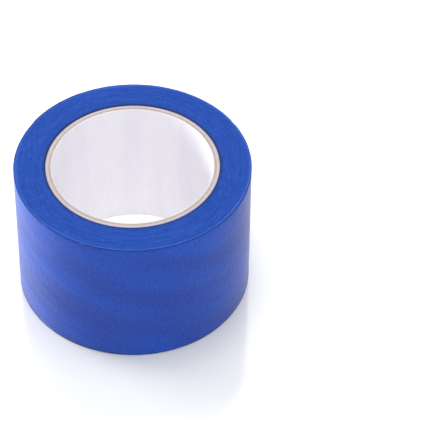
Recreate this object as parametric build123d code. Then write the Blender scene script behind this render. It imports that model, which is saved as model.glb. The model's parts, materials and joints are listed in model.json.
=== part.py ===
from build123d import *

# Roll of crepe paper masking tape on a spirally wound paperboard core.
#
# The roll lies on one end: its axis is Z, and the origin is on the axis at the end it lies on.
# The core is six glued plies, each a long strip of paper or board wound on the slant, so that its
# two edges meet at a seam that runs up the wall like a screw thread. The tape is one long strip,
# a crepe paper backing with adhesive on its inner face, wound anticlockwise seen from above.
# Its last stretch is the free end, which peels away about the line where it leaves the roll.
# Sizes are millimetres and angles are degrees.

import os
from math import cos, degrees, radians, sin

# Core
bore_diameter = 76.2
core_recess = 0.4  # how far the core stops short of the end that faces up
liner_thickness = 0.45
kraft_thickness = 0.50
board_thickness = 0.45
board_count = 3
wrap_thickness = 0.45
seam_lead = 138.0  # how far up the wall a seam climbs in one turn
seam_gap = 0.5  # between a ply's two edges, measured round the roll
liner_seam_angle = 176.0  # where the liner's seam starts, at the end that the roll lies on
seam_step = 73.0  # from one ply's seam to the next ply's
seam_cut_margin = 0.2  # how far the seam cutter stands past both faces of its ply

# Tape
tape_width = 72.0
backing_thickness = 0.10
adhesive_thickness = 0.04
wound_build = 15.15  # from the core out to the tip of the tape
free_end_length = 30.0
free_end_tip_angle = 150.0  # where the tape stops, seen from above
peel_clearance = 0.02  # under the free end, so that it can lift
root_clearance = 0.02  # between the free end and the strip that it carries on from

# Worked out from those
bore_radius = bore_diameter / 2
core_width = tape_width - core_recess
tape_thickness = backing_thickness + adhesive_thickness
free_end_pitch = tape_thickness + peel_clearance


def tube(inner_radius, thickness, height):
    """A plain tube standing on the XY plane."""
    outline = Circle(inner_radius + thickness) - Circle(inner_radius)
    return extrude(outline, height)


def sector(inner_radius, outer_radius, sweep):
    """A narrow flat piece of a ring, centred on the X axis."""
    inner = CenterArc((0, 0), inner_radius, -sweep / 2, sweep)
    outer = CenterArc((0, 0), outer_radius, -sweep / 2, sweep)
    sides = [Line(inner @ 0, outer @ 0), Line(inner @ 1, outer @ 1)]
    return make_face([inner, outer, *sides])


def seam_cutter(inner_radius, thickness, height):
    """The slanting slot between the two edges of a ply, starting at the X axis."""
    sweep = degrees(seam_gap / (inner_radius + thickness / 2))
    section = sector(
        inner_radius - seam_cut_margin, inner_radius + thickness + seam_cut_margin, sweep
    )
    twist = 360 * height / seam_lead
    return Solid.extrude_linear_with_rotation(section.face(), (0, 0, 0), (0, 0, height), twist)


def ply(inner_radius, thickness, seam_angle):
    """One ply of the core: a tube that its own seam cuts open from end to end."""
    cutter = Rot(0, 0, seam_angle) * seam_cutter(inner_radius, thickness, core_width)
    return tube(inner_radius, thickness, core_width) - cutter


def core_plies():
    """The plies by name, from the bore outwards, and the radius that the tape is wound on."""
    thicknesses = {"core_liner": liner_thickness, "core_kraft_ply": kraft_thickness}
    for number in range(1, board_count + 1):
        thicknesses[f"core_board_ply_{number}"] = board_thickness
    thicknesses["core_outer_wrap"] = wrap_thickness
    plies, radius = {}, bore_radius
    for place, (name, thickness) in enumerate(thicknesses.items()):
        plies[name] = ply(radius, thickness, liner_seam_angle + place * seam_step)
        radius += thickness
    return plies, radius


def polar(radius, angle):
    """A point on the XY plane."""
    return Vector(radius * cos(radians(angle)), radius * sin(radians(angle)))


def turn_arc(tip_radius, inset, start, sweep):
    """Part of the last turn of the strip, inset from its outer face, from start for sweep degrees.

    The turn is two half circles, from the tip's angle on. The second half's centre is half a pitch
    nearer the tip, which makes the turn climb by one pitch and stay smooth. Angles are round each
    half's own centre, counted on from the tip's angle, and an arc lies in one half.
    """
    quarter = free_end_pitch / 4
    second = start >= 180
    centre = polar(quarter, free_end_tip_angle + (0 if second else 180))
    radius = tip_radius - (quarter if second else 3 * quarter) - inset
    return CenterArc(centre, radius, free_end_tip_angle + start, sweep)


def strip(tip_radius, outer_inset, inner_inset, start, sweep):
    """A stretch of the strip's last turn between two depths below its outer face."""
    outer = turn_arc(tip_radius, outer_inset, start, sweep)
    inner = turn_arc(tip_radius, inner_inset, start, sweep)
    ends = [Line(inner @ 0, outer @ 0), Line(inner @ 1, outer @ 1)]
    return extrude(make_face([outer, inner, *ends]), tape_width)


def winding(core_radius, tip_radius, free_sweep):
    """All the tape that is stuck down: a ring whose outside climbs by one pitch in a turn, with
    the step where the strip's top layer ends and the free end's bed is one layer lower."""
    first = turn_arc(tip_radius, 0, 0, 180)
    second = turn_arc(tip_radius, 0, 180, 180 - free_sweep)
    bed = turn_arc(tip_radius, free_end_pitch, 360 - free_sweep, free_sweep)
    step = Line(second @ 1, bed @ 0)
    outline = make_face([first, second, step, bed])
    return extrude(outline - Circle(core_radius), tape_width)


def free_end(tip_radius, free_sweep):
    """The backing and the adhesive of the free end, and its hinge line's place."""
    root_sweep = degrees(root_clearance / tip_radius)
    start, sweep = 360 - free_sweep + root_sweep, free_sweep - root_sweep
    backing = strip(tip_radius, 0, backing_thickness, start, sweep)
    adhesive = strip(tip_radius, backing_thickness, tape_thickness, start, sweep)
    hinge = turn_arc(tip_radius, 0, 360 - free_sweep, free_sweep) @ 0
    return backing, adhesive, hinge


parts, core_radius = core_plies()
tip_radius = core_radius + wound_build
free_sweep = degrees(free_end_length / tip_radius)
parts["tape_winding"] = winding(core_radius, tip_radius, free_sweep)
parts["tape_free_end_backing"], parts["tape_free_end_adhesive"], hinge = free_end(
    tip_radius, free_sweep
)

os.makedirs("parts", exist_ok=True)
for name, shape in parts.items():
    export_step(shape, f"parts/{name}.step")
print(f"roll {2 * tip_radius:.2f} across, core {2 * core_radius:.2f} across")
print(f"peel line at {hinge.X:.4f}, {hinge.Y:.4f}")
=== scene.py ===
import json
from math import cos, radians, sin, tau

import bpy
import numpy as np
from mathutils import Matrix, Vector


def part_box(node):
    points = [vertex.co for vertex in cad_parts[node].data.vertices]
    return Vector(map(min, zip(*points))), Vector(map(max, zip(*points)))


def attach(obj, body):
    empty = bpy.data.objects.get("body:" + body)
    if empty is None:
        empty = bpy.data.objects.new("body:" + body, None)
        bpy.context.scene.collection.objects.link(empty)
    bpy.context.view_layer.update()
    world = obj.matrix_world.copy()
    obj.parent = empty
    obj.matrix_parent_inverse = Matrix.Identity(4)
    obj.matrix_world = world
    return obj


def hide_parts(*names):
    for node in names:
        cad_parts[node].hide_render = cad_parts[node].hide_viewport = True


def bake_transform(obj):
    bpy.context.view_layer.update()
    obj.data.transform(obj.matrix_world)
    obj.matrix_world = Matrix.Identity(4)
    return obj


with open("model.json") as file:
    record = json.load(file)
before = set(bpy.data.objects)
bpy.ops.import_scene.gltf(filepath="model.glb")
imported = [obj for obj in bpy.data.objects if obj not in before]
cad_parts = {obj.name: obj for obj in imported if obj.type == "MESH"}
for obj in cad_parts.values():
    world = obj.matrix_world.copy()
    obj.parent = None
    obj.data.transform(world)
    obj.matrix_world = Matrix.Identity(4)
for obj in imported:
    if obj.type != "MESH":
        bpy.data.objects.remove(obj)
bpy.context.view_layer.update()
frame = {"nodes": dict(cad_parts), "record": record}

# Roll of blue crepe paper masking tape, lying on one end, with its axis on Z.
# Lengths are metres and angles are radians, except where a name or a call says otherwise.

MM = 0.001

# The strip of tape
BACKING = 0.10 * MM
ADHESIVE = 0.04 * MM
TURN = BACKING + ADHESIVE
LAST_PITCH = TURN + 0.02 * MM  # the free end lies this far out from the turn below it

# The free end
TORN_IN = 0.45 * MM  # how far the torn tip wanders
SPRUNG = 0.22 * MM  # how far the tip's lower corner has sprung up

# The core's plies, from the bore outwards: each sheet's name, its CAD node and its material slot
PLIES = (
    ("liner_sheet", "core_liner", "liner_paper"),
    ("kraft_sheet", "core_kraft_ply", "kraft_paper"),
    ("board_sheet_1", "core_board_ply_1", "core_board"),
    ("board_sheet_2", "core_board_ply_2", "core_board"),
    ("board_sheet_3", "core_board_ply_3", "core_board"),
    ("wrap_sheet", "core_outer_wrap", "core_wrap"),
)
WHITE_FACE = 0.10 * MM  # the liner's bleached face; the rest of its thickness is tan
PLY_CORNER = 0.05 * MM  # how far a ply's corners are rounded
PLY_CUT = 0.05 * MM  # how far the cut at a ply's ends wanders

# The plies' seams, as the CAD nodes have them
SEAM_LEAD = 138.0 * MM
SEAM_GAP = 0.5 * MM
LINER_SEAM = radians(176)
SEAM_STEP = radians(73)

# The roll's corners
RIM = 0.30 * MM  # the radius that they are rounded to
LIP = 1.1 * MM  # on the ends, from the outside in to the dip behind the last turns
NECK = 0.16 * MM  # how far the side is drawn in just inside a corner
NECK_PLACE = 0.85 * MM  # how far from the end it is drawn in most
NECK_WIDTH = 0.40 * MM
KNOCKS = (  # where each knock in the upper corner is in degrees, and its length and depth in mm
    (248.3, 1.0, 0.24),
    (238.0, 1.7, 0.08),
    (225.5, 0.8, 0.08),
    (33, 1.6, 0.14),
    (328, 1.0, 0.10),
)
KNOCK_FADE = 0.5 * MM  # how far down the side a knock fades
KNOCK_DROP = 0.6  # a knock lowers the corner by this share of its depth

# How uneven the winding is
SLACK = 0.045 * MM  # how far the outer turns lie in, on average
COARSE_RELIEF = 0.16 * MM  # how far neighbouring turns rise and fall together
FINE_RELIEF = 0.10 * MM  # how far each turn does on its own
CORE_DIP = 0.30 * MM  # how far the ends dip against the core
CORE_DIP_WIDTH = 0.25 * MM
LIP_DIP = 0.20 * MM  # how far they dip behind the last turns


# ---------------------------------------------------------------- sizes from the frame


def polar_span(node):
    """The least and greatest radius, and the least and greatest angle, of a node's points round Z."""
    mesh = frame["nodes"][node].data
    points = np.empty(len(mesh.vertices) * 3)
    mesh.vertices.foreach_get("co", points)
    x, y = points.reshape(-1, 3)[:, :2].T
    radius, angle = np.hypot(x, y), np.arctan2(y, x)
    return radius.min(), radius.max(), angle.min(), angle.max()


bore = next(m for m in frame["record"]["mounts"] if m["name"] == "core_bore")
bore_radius = bore["dims"]["r_mm"] * MM
tape_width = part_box("tape_winding")[1].z
core_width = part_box("core_liner")[1].z
core_radius = polar_span("core_outer_wrap")[1]
_, tip_radius, peel_angle, tip_angle = polar_span("tape_free_end_backing")
free_sweep = tip_angle - peel_angle
turns = int((tip_radius - core_radius) / TURN)


# ---------------------------------------------------------------- making meshes


def add_mesh(name, points, quads, materials, faces_of=None, worn=None, sharp=35):
    """A mesh object from points (n, 3) and quads (m, 4), shaded smooth but for edges that turn by
    more than sharp degrees.

    For its materials to read, it keeps each point's place at rest, and how much fraying and painted
    highlight it has there."""
    mesh = bpy.data.meshes.new(name)
    mesh.vertices.add(len(points))
    mesh.vertices.foreach_set("co", np.ravel(points))
    mesh.loops.add(quads.size)
    mesh.loops.foreach_set("vertex_index", np.ravel(quads))
    mesh.polygons.add(len(quads))
    mesh.polygons.foreach_set("loop_start", np.arange(0, quads.size, 4))
    for material in materials:
        mesh.materials.append(material)
    if faces_of is not None:
        mesh.polygons.foreach_set("material_index", faces_of)
    mesh.update(calc_edges=True)
    mesh.validate()
    mesh.polygons.foreach_set("use_smooth", np.ones(len(mesh.polygons), bool))
    mesh.set_sharp_from_angle(angle=radians(sharp))
    rest = mesh.attributes.new("rest", "FLOAT_VECTOR", "POINT")
    rest.data.foreach_set("vector", np.ravel(points))
    if worn is not None:
        mesh.attributes.new("worn", "FLOAT", "POINT").data.foreach_set("value", np.ravel(worn))
    piece = bpy.data.objects.new(name, mesh)
    bpy.context.scene.collection.objects.link(piece)
    return piece


def grid_quads(index):
    """The quads between neighbouring rows and columns of a grid of point numbers."""
    return np.stack([index[:-1, :-1], index[1:, :-1], index[1:, 1:], index[:-1, 1:]], -1).reshape(-1, 4)


def cylindrical(radius, angle, height):
    """Points from radius, angle and height, which are arrays of one shape or of shapes that fit."""
    radius, angle, height = np.broadcast_arrays(radius, angle, height)
    return np.stack([radius * np.cos(angle), radius * np.sin(angle), height], -1)


def ring(name, points, materials, row_material, worn=None):
    """A closed ring: a loop of section points (rows) carried round the roll (columns).

    Row i and row i + 1 are joined all round, the last row to the first and the last column to the
    first, so the surface has no edge."""
    rows, columns = points.shape[:2]
    index = np.arange(rows * columns).reshape(rows, columns)
    closed = np.pad(index, ((0, 1), (0, 1)), mode="wrap")
    quads = grid_quads(closed)
    kinds = np.repeat(row_material, columns)
    return add_mesh(name, points.reshape(-1, 3), quads, materials, kinds, worn)


def sheet_shell(name, inner, outer, materials, edge_material=0, margin=0, worn=0):
    """A closed sheet of one thickness: two grids of points of one shape, inner and outer, joined
    round their four edges, with fraying and painted highlight alike on both.

    The first and last columns of quads, as many as margin says, have the edges' material."""
    rows, columns = inner.shape[:2]
    index = np.arange(2 * rows * columns).reshape(2, rows, columns)
    below, above = index
    loop = [below[0, :-1], below[:-1, -1], below[-1, :0:-1], below[:0:-1, 0]]
    top = [above[0, :-1], above[:-1, -1], above[-1, :0:-1], above[:0:-1, 0]]
    low, high = np.concatenate(loop), np.concatenate(top)
    edge = np.stack([low, np.roll(low, -1), np.roll(high, -1), high], -1)
    faces = [grid_quads(below)[:, ::-1], grid_quads(above), edge]
    quads = np.concatenate(faces)
    face_kinds = np.zeros((rows - 1, columns - 1), int)
    face_kinds[:, :margin] = face_kinds[:, columns - 1 - margin :] = edge_material
    kinds = np.concatenate([np.tile(np.ravel(face_kinds), 2), np.full(len(edge), edge_material)])
    points = np.concatenate([inner.reshape(-1, 3), outer.reshape(-1, 3)])
    worn = np.tile(np.ravel(worn + np.zeros((rows, columns))), 2)
    return add_mesh(name, points, quads, materials, kinds, worn)


def smooth_step(value):
    """0 below 0, 1 above 1, and smooth between."""
    value = np.clip(value, 0, 1)
    return value * value * (3 - 2 * value)


def drifting_curves(seed, count, angles, harmonics, fade, kept):
    """count smooth random curves round the roll, each like its neighbours, from 0 to 1.

    Each is a sum of cosines and sines of 0, 1, 2 and so on times the angle, weaker as they get
    finer, by the power fade. A curve shares its neighbours' strengths, each by kept to the power
    of how many curves away it is."""
    rng = np.random.default_rng(seed)
    order = np.arange(harmonics)
    strengths = rng.normal(size=(count, 2 * harmonics)) / np.tile(1 + order, 2) ** fade
    place = np.arange(count)
    shared = kept ** np.abs(place[:, None] - place)
    waves = np.concatenate([np.cos(order[:, None] * angles), np.sin(order[:, None] * angles)])
    curves = shared @ strengths @ waves
    return (curves - curves.min()) / (curves.max() - curves.min())


# ---------------------------------------------------------------- the tape


def outline_radius(angle):
    """The radius of the strip's outer face: it climbs by one pitch in the turn that ends at the tip."""
    turn = np.mod(angle - tip_angle, tau) / tau
    return tip_radius - LAST_PITCH * (1 - turn)


def slack(angle, height):
    """How far the outer turns lie in from a true cylinder: a few long, low, slanting waves."""
    rng = np.random.default_rng(11)
    total = 0
    for around in (3, 5, 8, 11, 15, 19):
        for along in (-2, -1, 1, 2):
            strength, phase = rng.normal() / (around + 4), rng.uniform(0, tau)
            slant = along * 2.6 * height / tape_width
            total = total + strength * np.cos(around * angle + slant + phase)
    return SLACK * (1 + np.tanh(1.6 * total))


def knock(angle, from_end):
    """The knocks' depth: bell-shaped hollows round the upper corner, fading away from the end."""
    total = 0
    for where, length, depth in KNOCKS:
        away = np.mod(angle - radians(where) + tau / 2, tau) - tau / 2
        total = total + depth * MM * np.exp(-((away * tip_radius / (length * MM)) ** 2))
    return total * np.exp(-from_end / KNOCK_FADE)


def neck(from_end):
    """How far the side is drawn in near either end: a bell shape just inside the corner."""
    return NECK * np.exp(-(((from_end - NECK_PLACE) / NECK_WIDTH) ** 2))


def rounding(from_end):
    """How far a rounded corner draws the side in: a quarter circle."""
    return RIM * (1 - np.sqrt(1 - np.clip(1 - from_end / RIM, 0, 1) ** 2))


def wound_tape(materials):
    """The stuck-down tape: a section loop carried round the roll.

    The section runs up the core, out over the upper end with a row for each turn but the last two,
    round the corner, down the side, and back in over the lower end. Over the ends each row is a
    circle whose height wanders a little on its own, so the ends show the strip's edges. They dip
    against the core, and again just inside the corner, which leaves the last turns standing up as a
    lip. The side follows the strip's last turn, and is one pitch lower where the free end lies on
    it. Its materials are for the side, the ends and the corners."""
    side_kind, end_kind, corner_kind = range(3)
    columns = np.linspace(0, tau, 380, endpoint=False)
    step_at_peel_line = tau - free_sweep + np.array([-1, 1]) * 1e-5
    angles = np.sort(np.concatenate([columns, step_at_peel_line])) + tip_angle
    under_free_end = angles - tip_angle > tau - free_sweep
    outline = outline_radius(angles) - LAST_PITCH * under_free_end

    face_radii = core_radius + TURN * np.arange(turns - 2)[:, None]
    bend = np.linspace(0, tau / 4, 4)[:, None]
    in_neck = np.array([0.15, 0.35, 0.55, 0.8, 1.1, 1.6]) * MM
    neck_end = RIM + 2.5 * MM
    plain_side = np.linspace(neck_end, tape_width - neck_end, 25)
    heights = np.concatenate([RIM + in_neck, plain_side, (tape_width - RIM - in_neck)[::-1]])
    side_heights = heights[::-1, None]

    coarse = drifting_curves(3, turns - 2, angles, 7, 1.0, 0.86)
    fine = drifting_curves(4, turns - 2, angles, 60, 0.5, 0.2)
    relief = COARSE_RELIEF * coarse + FINE_RELIEF * fine
    relief += CORE_DIP * np.exp(-(face_radii - core_radius) / CORE_DIP_WIDTH)
    relief += LIP_DIP * np.exp(-(((face_radii - tip_radius + LIP) / (0.5 * LIP)) ** 2))
    relief_below = relief[::-1]

    knocked = knock(angles, 0)
    top_radii = outline - RIM * (1 - np.sin(bend)) - knocked - slack(angles, tape_width)
    top_heights = tape_width - RIM * (1 - np.cos(bend)) - KNOCK_DROP * knocked - relief[-1]
    side_radii = outline - slack(angles, side_heights) - knock(angles, tape_width - side_heights)
    side_radii = side_radii - neck(side_heights) - neck(tape_width - side_heights)
    low_radii = outline - RIM * (1 - np.sin(bend[::-1])) - slack(angles, 0)
    low_heights = RIM * (1 - np.cos(bend[::-1])) + relief_below[-1]

    sections = [
        (np.full((1, 1), core_radius), np.full((1, 1), tape_width / 2), side_kind),
        (face_radii, tape_width - relief, end_kind),
        (top_radii, top_heights, corner_kind),
        (side_radii, side_heights, side_kind),
        (low_radii, low_heights, corner_kind),
        (face_radii[::-1], relief_below[::-1], end_kind),
    ]
    level = 0 * angles
    points = [cylindrical(radii + level, angles, heights + level) for radii, heights, _ in sections]
    points = np.concatenate(points)
    kinds = np.concatenate([np.full(len(radii), kind) for radii, _, kind in sections])
    # fraying and painted highlight: paler random stretches and knocks along the upper corner
    fraying_and_highlight = drifting_curves(5, 1, angles, 90, 0.25, 0.0)
    near_rim = np.exp(-(((points[..., 2] - tape_width + RIM / 2) / (0.35 * MM)) ** 2))
    near_rim *= np.hypot(points[..., 0], points[..., 1]) > outline - 2 * RIM
    worn = near_rim * np.clip(0.6 * fraying_and_highlight - 0.4 + knocked / (0.15 * MM), 0, 1)
    return ring("wound_tape", points, materials, kinds, worn)


def free_end_layer(name, outer_depth, inner_depth, materials):
    """One layer of the tape's free end, between two depths below the strip's outer face.

    Its rows run round the roll from the peel line to the tip, and its columns up the roll. It
    follows the strip's last turn, drawn in near both edges as the side is. The tip is torn a little
    unevenly, and its lower corner has sprung up. The last of its materials is for the edges."""
    along = np.linspace(0, 1, 72)[:, None]
    near_edge = np.array([0, 0.02, 0.06, 0.13, 0.30, 0.45, 0.65, 0.85, 1.1, 1.4, 1.9]) * MM
    edge = near_edge / tape_width
    across = np.concatenate([edge, np.linspace(0.05, 0.95, 36), 1 - edge[::-1]])
    rng = np.random.default_rng(21)
    ragged = np.convolve(rng.uniform(0, 1, len(across) + 2), (0.25, 0.5, 0.25), "valid")
    sweep = free_sweep - TORN_IN * ragged / tip_radius
    angle = peel_angle + 2e-5 + along * sweep
    height = across * tape_width + 0 * along
    sprung = SPRUNG * smooth_step((along - 0.82) / 0.18) * smooth_step((0.55 - across) / 0.5)
    face = outline_radius(angle) - slack(angle, height) + sprung
    for from_end in (height, tape_width - height):
        face = face - neck(from_end) - rounding(from_end)
    inner = cylindrical(face - inner_depth, angle, height)
    outer = cylindrical(face - outer_depth, angle, height)
    torn = smooth_step((along - 0.97) / 0.03)
    edge_material = len(materials) - 1
    return sheet_shell(name, inner, outer, materials, edge_material, margin=4, worn=0.8 * torn)


# ---------------------------------------------------------------- the core


def core_ply(name, place, material, inner_radius, outer_radius):
    """One ply: a sheet wound on the slant, from one seam edge round to the other.

    The angle is the seam's own angle at that height, which climbs one turn in a lead, plus the way
    round from the seam. Its ends are cut a little unevenly, and rounded at the corners."""
    gap = SEAM_GAP / ((inner_radius + outer_radius) / 2)
    way_round = np.linspace(gap / 2, tau - gap / 2, 300)
    seam = LINER_SEAM + place * SEAM_STEP
    cut = PLY_CUT * drifting_curves(31 + place, 2, way_round, 48, 0.6, 0.0)
    low, high = cut[0], core_width - cut[1]
    up = np.linspace(0, 1, 34)[:, None]
    height = low + PLY_CORNER + (high - low - 2 * PLY_CORNER) * up
    height = np.concatenate([low[None], height, high[None]])
    pulled_in = np.zeros_like(height)
    pulled_in[[0, -1]] = PLY_CORNER
    angle = seam + tau * height / SEAM_LEAD + way_round
    inner = cylindrical(inner_radius + pulled_in, angle, height)
    outer = cylindrical(outer_radius - pulled_in, angle, height)
    return sheet_shell(name, inner, outer, [material])


# ---------------------------------------------------------------- materials


class Socket:
    """One output of a shader node, on which sums can be written."""

    def __init__(self, shader, socket):
        self.shader, self.socket = shader, socket

    def _math(self, operation, *values):
        return self.shader.node("Math", dict(enumerate(values)), operation=operation)

    def __add__(self, other):
        return self._math("ADD", self, other)

    def __sub__(self, other):
        return self._math("SUBTRACT", self, other)

    def __rsub__(self, other):
        return self._math("SUBTRACT", other, self)

    def __mul__(self, other):
        return self._math("MULTIPLY", self, other)

    def __truediv__(self, other):
        return self._math("DIVIDE", self, other)

    __radd__, __rmul__ = __add__, __mul__


class Finish:
    """A material in the making: its node tree, and its Principled shader."""

    def __init__(self, name, roughness, **uniform):
        self.material = bpy.data.materials.new(name)
        self.material.use_nodes = True
        self.tree = self.material.node_tree
        self.surface = self.tree.nodes["Principled BSDF"]
        self.surface.inputs["Roughness"].default_value = roughness
        for socket, value in uniform.items():
            self.surface.inputs[socket.replace("_", " ")].default_value = value

    def node(self, kind, inputs=(), output=0, **settings):
        """Adds a node, with its settings first and then its inputs' values or links."""
        made = self.tree.nodes.new("ShaderNode" + kind)
        for key, value in settings.items():
            setattr(made, key, value)
        for key, value in dict(inputs).items():
            self.feed(made.inputs[key], value)
        return Socket(self, made.outputs[output])

    def feed(self, socket, value):
        """Links a socket, or sets its value."""
        if isinstance(value, Socket):
            self.tree.links.new(value.socket, socket)
        else:
            socket.default_value = value

    def paint(self, colour):
        """Makes this the surface's colour."""
        self.feed(self.surface.inputs["Base Color"], colour)

    def rest(self):
        """Each point's place with the free end stuck down, so that a pattern stays with the strip."""
        return self.node("Attribute", output=1, attribute_name="rest")

    def stretched(self, place, x, y, z):
        """place with each direction scaled, in pattern cells per metre."""
        return self.node("VectorMath", {0: place, 1: (x, y, z)}, operation="MULTIPLY")

    def radius(self, place):
        """How far place is from the roll's axis."""
        flat = self.stretched(place, 1, 1, 0)
        return self.node("VectorMath", {0: flat}, output=1, operation="LENGTH")

    def noise(self, place, detail=2.0, roughness=0.5):
        """Soft noise about 0.5, with cells of one unit."""
        inputs = {"Vector": place, "Scale": 1.0, "Detail": detail, "Roughness": roughness}
        return self.node("TexNoise", inputs)

    def worn(self):
        """How much fraying and painted highlight the surface has, from 0 to 1."""
        return self.node("Attribute", output=2, attribute_name="worn")

    def summed(self, first, first_cells, second, second_cells):
        """The sum of two vectors, each scaled by its own cells per metre."""
        inputs = {0: first, 1: (first_cells,) * 3, 2: self.stretched(second, *(second_cells,) * 3)}
        return self.node("VectorMath", inputs, operation="MULTIPLY_ADD")

    def mix(self, share, first, second):
        """From the first colour to the second."""
        inputs = {"Factor": share, 6: first, 7: second}
        return self.node("Mix", inputs, output=2, data_type="RGBA", clamp_factor=True)

    def multiplied(self, first, second):
        """The product of two colours."""
        inputs = {0: 1.0, 6: first, 7: second}
        return self.node("Mix", inputs, output=2, data_type="RGBA", blend_type="MULTIPLY")

    def bump(self, height, distance):
        """Raises the surface by height times distance."""
        normal = self.node("Bump", {"Height": height, "Distance": distance, "Strength": 1.0})
        self.feed(self.surface.inputs["Normal"], normal)


def tone(red, green, blue):
    """A colour from its linear red, green and blue."""
    return (red, green, blue, 1.0)


# Each material's two tones, dark and light, which its fine pattern mixes
CREPE = (tone(0.0090, 0.053, 0.378), tone(0.0175, 0.075, 0.447))
EDGES = (tone(0.0050, 0.038, 0.240), tone(0.0120, 0.060, 0.325))
# painted shade: dark tones for the roll's corners
RIM_PAINTED_SHADE = (tone(0.006, 0.028, 0.140), tone(0.014, 0.048, 0.220))
GLUE = (tone(0.060, 0.125, 0.370), tone(0.105, 0.190, 0.480))
KRAFT = (tone(0.313, 0.253, 0.222), tone(0.450, 0.385, 0.368))
TAN_BOARD = (tone(0.300, 0.243, 0.230), tone(0.412, 0.350, 0.342))
BOARD = (tone(0.405, 0.343, 0.340), tone(0.52, 0.457, 0.461))
# painted shade: the outer wrap's tones are dark and bluish, for the shade of the tape's edge that
# stands above it
WRAP_PAINTED_SHADE = (tone(0.325, 0.295, 0.335), tone(0.415, 0.385, 0.440))
LINER = (tone(0.85, 0.83, 0.875), tone(0.895, 0.88, 0.915))
FLOOR = (tone(0.76, 0.76, 0.75), tone(0.79, 0.79, 0.78))

# Tones for parts of a material
CREPE_SHEEN_BANDS = (tone(1.14, 0.86, 0.84), tone(0.86, 1.14, 1.13))  # factors for bands of painted sheen: warmer and darker, then bluer and lighter
# a pale tone for frayed paper and fluff, and for painted highlight
FRAYED_AND_HIGHLIGHT = tone(0.085, 0.170, 0.560)
# painted shade, for the ends next to the core
CORE_PAINTED_SHADE = tone(0.012, 0.022, 0.080)
LINER_DULL = tone(0.795, 0.770, 0.840)


def blue_crepe():
    """The tape's face: royal blue crepe paper. Fine wrinkles run across the strip, the paper is
    speckled, and broad faint bands slant round the roll: a low waviness in the bump, and painted
    sheen in the colour."""
    gloss = {"Sheen_Weight": 0.38, "Sheen_Roughness": 0.35, "Specular_IOR_Level": 0.15}
    finish = Finish("blue crepe paper", 0.55, **gloss)
    place = finish.rest()
    wrinkles = finish.noise(finish.stretched(place, 1350, 1350, 400), 3.0, 0.65)
    speckle = finish.noise(finish.stretched(place, 950, 950, 850), 2.0, 0.7)
    slant, band_size = (0, radians(19), 0), (0.070, 0.070, 0.015)
    slanted = finish.node("Mapping", {0: place, 2: slant, 3: band_size}, vector_type="TEXTURE")
    bands = finish.noise(slanted, 2.0, 0.45)
    share = 0.5 + 3.0 * (speckle - 0.5) + 2.0 * (wrinkles - 0.5)
    # painted sheen: the bands make the colour bluer and lighter in places, and warmer and darker
    # between
    painted_sheen = finish.mix(0.5 + 4.5 * (bands - 0.5), *CREPE_SHEEN_BANDS)
    colour = finish.multiplied(finish.mix(share, *CREPE), painted_sheen)
    # paler where frayed and where a highlight is painted: along the upper corner and at the torn tip
    finish.paint(finish.mix(finish.worn() * 0.6, colour, FRAYED_AND_HIGHLIGHT))
    finish.bump(wrinkles * 0.9 + speckle * 1.1 + bands * 4.0, 0.15 * MM)
    return finish.material


def tape_edges():
    """The roll's ends: the edges of the strip's turns, as fine rings that come and go, with specks
    of fluff, a paler band of painted highlight over the last turns, and painted shade against the core."""
    finish = Finish("blue tape edges", 0.55, Specular_IOR_Level=0.09)
    place = finish.rest()
    radius = finish.radius(place)
    across = finish.node("CombineXYZ", {2: radius})
    along = finish.stretched(place, 1, 1, 0)
    broad = finish.noise(finish.summed(along, 26, across, 620), 2.0, 0.6)
    fine = finish.noise(finish.summed(along, 150, across, 1500), 2.0, 0.7)
    speckle = finish.noise(finish.stretched(place, 1300, 1300, 1300), 1.0, 0.7)
    share = 0.5 + 1.2 * (broad - 0.5) + 2.4 * (fine - 0.5) + 1.7 * (speckle - 0.5)
    colour = finish.mix(share, *EDGES)
    fluff = finish.noise(finish.stretched(place, 900, 900, 900), 0.0)
    colour = finish.mix((fluff - 0.72) * 1.8, colour, FRAYED_AND_HIGHLIGHT)
    # painted highlight: a paler band over the last turns, just inside the corner
    from_rim = (tip_radius - radius) / LIP
    colour = finish.mix(0.4 * broad + 0.22 - 0.25 * from_rim, colour, FRAYED_AND_HIGHLIGHT)
    # painted shade: the ends are darkened over the turns next to the core, where shade falls by the
    # step down to it
    painted_shade_by_core = 1.25 - (radius - core_radius) / (1.3 * MM)
    finish.paint(finish.mix(painted_shade_by_core, colour, CORE_PAINTED_SHADE))
    finish.bump(fine * 0.8 + speckle * 0.4 + broad * 0.5, 0.15 * MM)
    return finish.material


def tape_rim():
    """The roll's corners: the edge of the last turn, dull and darkened with painted shade, and paler
    where frayed and where a highlight is painted.
    """
    finish = Finish("blue tape rim", 0.90, Specular_IOR_Level=0.0)
    speckle = finish.noise(finish.stretched(finish.rest(), 1300, 1300, 1300), 1.0, 0.7)
    # painted shade in the corner tones; fraying and painted highlight make them paler
    finish.paint(finish.mix(finish.worn() * 0.8, finish.mix(speckle, *RIM_PAINTED_SHADE), FRAYED_AND_HIGHLIGHT))
    return finish.material


def adhesive():
    """The tape's sticky face: the same blue through a thin, slightly glossy coat with faint ribs."""
    gloss = {"Specular_IOR_Level": 0.5, "Coat_Weight": 0.25, "Coat_Roughness": 0.2}
    finish = Finish("tacky adhesive", 0.34, **gloss)
    place = finish.rest()
    ribs = finish.noise(finish.stretched(place, 500, 500, 90), 2.0, 0.6)
    mottle = finish.noise(finish.stretched(place, 900, 900, 900), 2.0, 0.6)
    share = 0.5 + 1.0 * (ribs - 0.5) + 1.2 * (mottle - 0.5)
    finish.paint(finish.mix(share, *GLUE))
    finish.bump(ribs * 0.5 + mottle * 0.5, 0.03 * MM)
    return finish.material


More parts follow.
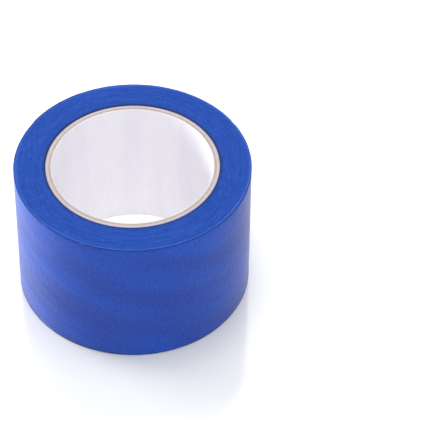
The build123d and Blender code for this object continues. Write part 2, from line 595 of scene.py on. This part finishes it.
def fibrous(finish, dark, light, cells):
    """Two near colours mixed by fibres of the given cells per metre, and a faint cloud."""
    place = finish.rest()
    fibres = finish.noise(finish.stretched(place, *cells), 4.0, 0.65)
    cloud = finish.noise(finish.stretched(place, 60, 60, 60), 2.0)
    finish.bump(fibres, 0.04 * MM)
    return finish.mix(0.5 + 1.5 * (fibres - 0.5) + 0.8 * (cloud - 0.5), dark, light)


def board(name, colours):
    """A rough paper or board, all the way through."""
    finish = Finish(name, 0.85, Specular_IOR_Level=0.3)
    finish.paint(fibrous(finish, *colours, (900, 900, 900)))
    return finish.material


def lined_board(name):
    """The liner: a smooth white face towards the bore, and tan board behind it."""
    finish = Finish(name, 0.50, Specular_IOR_Level=0.3)
    place = finish.rest()
    behind = (finish.radius(place) - bore_radius - WHITE_FACE) / (0.04 * MM)
    tan = fibrous(finish, *KRAFT, (900, 900, 900))
    streaks = finish.noise(finish.stretched(place, 70, 70, 9), 2.0)
    clean = fibrous(finish, *LINER, (400, 400, 120))
    white = finish.mix(1.0 + 2.0 * (streaks - 0.55), LINER_DULL, clean)
    finish.paint(finish.mix(behind, white, tan))
    return finish.material


def studio_floor():
    """A pale sheet that mirrors a little of what stands on it."""
    finish = Finish("pale floor", 0.12, IOR=1.8)
    place = finish.stretched(finish.node("TexCoord", output=3), 3, 3, 3)
    finish.paint(finish.mix(finish.noise(place), *FLOOR))
    return finish.material


# ---------------------------------------------------------------- putting the roll together


def place_piece(piece, slot, body, *nodes):
    """The piece stands for CAD nodes, which it hides, and moves with a body. slot is not used."""
    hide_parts(*nodes)
    if body:
        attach(piece, body)


def make_core():
    """The six plies, each standing for its CAD node."""
    # the wrap's material carries painted shade
    kraft, wrap = board("kraft paper", KRAFT), board("core wrap", WRAP_PAINTED_SHADE)
    tan, pale = board("tan core board", TAN_BOARD), board("pale core board", BOARD)
    materials = (lined_board("white lined board"), kraft, tan, pale, pale, wrap)
    inner = bore_radius
    for place, ((name, node, slot), material) in enumerate(zip(PLIES, materials)):
        outer = polar_span(node)[1]
        place_piece(core_ply(name, place, material, inner, outer), slot, "roll", node)
        inner = outer


def make_tape():
    """The stuck-down tape and the two layers of its free end, which start from the peel line."""
    crepe, rim = blue_crepe(), tape_rim()
    place_piece(wound_tape([crepe, tape_edges(), rim]), "tape_paper", "roll", "tape_winding")
    paper = free_end_layer("free_end_paper", 0, BACKING, [crepe, rim])
    place_piece(paper, "tape_paper", None, "tape_free_end_backing")
    glue = free_end_layer("free_end_glue", BACKING, TURN, [adhesive()])
    place_piece(glue, "tape_adhesive", None, "tape_free_end_adhesive")

    for piece in (paper, glue):
        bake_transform(piece)


# ---------------------------------------------------------------- studio

VIEW_DOWN = radians(45.75)
VIEW_ROLL = radians(1.17)
VIEW_DISTANCE = 1.0985
LENS = 188.5
AIM_RIGHT = 42.8 * MM  # how far the picture's middle is from the middle of the upper end
AIM_DOWN = 27.9 * MM


def make_camera():
    """Looks along +Y and down, leaning a little, at a place right of and below the upper end."""
    camera = bpy.data.objects.new("camera", bpy.data.cameras.new("camera"))
    bpy.context.scene.collection.objects.link(camera)
    turned = Matrix.Rotation(tau / 4 - VIEW_DOWN, 3, "X") @ Matrix.Rotation(VIEW_ROLL, 3, "Z")
    right, up, back = turned.col
    middle = Vector((0, 0, tape_width)) + right * AIM_RIGHT - up * AIM_DOWN
    camera.matrix_world = Matrix.Translation(middle + back * VIEW_DISTANCE) @ turned.to_4x4()
    camera.data.lens = LENS
    camera.data.clip_end = 20
    bpy.context.scene.camera = camera


def hang(light, place, aim):
    """Puts a light at place, facing aim."""
    lamp = bpy.data.objects.new(light.name, light)
    bpy.context.scene.collection.objects.link(lamp)
    turned = (Vector(aim) - Vector(place)).to_track_quat("-Z", "Y").to_matrix().to_4x4()
    lamp.matrix_world = Matrix.Translation(place) @ turned


def softbox(name, place, aim, size, power):
    """A square light."""
    light = bpy.data.lights.new(name, "AREA")
    light.shape = "SQUARE"
    light.size = size
    light.energy = power
    hang(light, place, aim)


def spotlight(name, place, aim, beam, power):
    """A narrow beam with a soft edge."""
    light = bpy.data.lights.new(name, "SPOT")
    light.spot_size = beam
    light.spot_blend = 0.15
    light.shadow_soft_size = 0.005
    light.energy = power
    hang(light, place, aim)


def make_studio():
    """A pale floor under soft light, mostly from behind, above and the left, with a beam that
    lights the floor inside the bore."""
    half = 4.0
    corners = np.array([(-half, -half, 0), (half, -half, 0), (half, half, 0), (-half, half, 0)])
    floor = add_mesh("floor", corners, np.array([[0, 1, 2, 3]]), [studio_floor()])
    softbox("overhead", (-0.05, 0.05, 1.20), (0, 0, 0.03), 0.40, 4.5)
    softbox("front", (0.15, -0.75, 1.15), (0, 0, 0.03), 0.50, 3.8)
    softbox("left_wall", (-0.92, 0.44, 0.26), (0, 0, 0.04), 0.50, 11.8)
    softbox("back_wall", (0, 1.30, 1.35), (0, 0, 0.04), 1.20, 8.0)
    spotlight("down_bore", (0, -0.05, 1.20), (0, 0.004, 0), radians(3.6), 22.0)
    world = bpy.data.worlds.new("studio")
    bpy.context.scene.world = world
    world.use_nodes = True
    background = world.node_tree.nodes["Background"]
    background.inputs["Color"].default_value = (0.97, 0.98, 1.0, 1)
    background.inputs["Strength"].default_value = 0.80
    bpy.context.scene.view_settings.view_transform = "Standard"


make_core()
make_tape()
make_camera()
make_studio()
